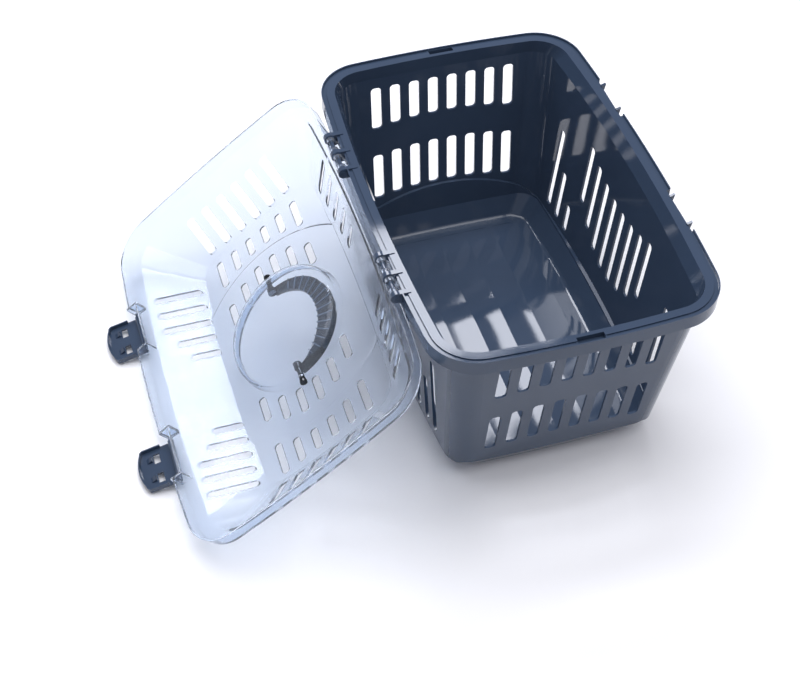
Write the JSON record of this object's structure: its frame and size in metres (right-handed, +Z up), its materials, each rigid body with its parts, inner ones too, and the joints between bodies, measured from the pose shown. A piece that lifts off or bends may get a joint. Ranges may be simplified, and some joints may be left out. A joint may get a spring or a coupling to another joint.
{
  "type": "slotted carrier basket with hinged lid",
  "caption": "Slotted plastic carrier basket with a clear domed lid hinged open on one long side, snap latches on its free edge and a folding handle.",
  "frame": {"origin": "on the floor under the centre of the basket, on the crossing of the two ribs under its bottom", "axes": "+Z up, +X from the hinge side to the latch side of the basket, +Y along its long sides"},
  "size_m": [0.6063, 0.4826, 0.2443],
  "materials": {
    "navy_plastic": "semi-gloss moulded",
    "clear_plastic": "clear moulded",
    "blue_plastic": "semi-gloss moulded"
  },
  "bodies": {
    "basket": {"basket": "navy_plastic", "hinge_pin_near": "navy_plastic", "hinge_pin_far": "navy_plastic"},
    "lid": {"lid": "clear_plastic"},
    "handle": {"handle": "blue_plastic"},
    "latch_near": {"latch_near": "navy_plastic"},
    "latch_far": {"latch_far": "navy_plastic"}
  },
  "joints": [
    {"name": "lid_hinge", "type": "hinge", "parent": "basket", "child": "lid", "pos_m": [-0.1648, 0, 0.2375], "axis": [0, 1, 0], "range_deg": [0, 219.36]},
    {"name": "handle_pivot", "type": "hinge", "parent": "lid", "child": "handle", "pos_m": [-0.25338, 0, 0.08563], "axis": [0, 1, 0], "range_deg": [0, 95]},
    {"name": "latch_near_pivot", "type": "hinge", "parent": "lid", "child": "latch_near", "pos_m": [-0.40292, -0.0917, 0.01534], "axis": [0, 1, 0], "range_deg": [0, 65]},
    {"name": "latch_far_pivot", "type": "hinge", "parent": "lid", "child": "latch_far", "pos_m": [-0.40292, 0.1003, 0.01534], "axis": [0, 1, 0], "range_deg": [0, 65]}
  ]
}
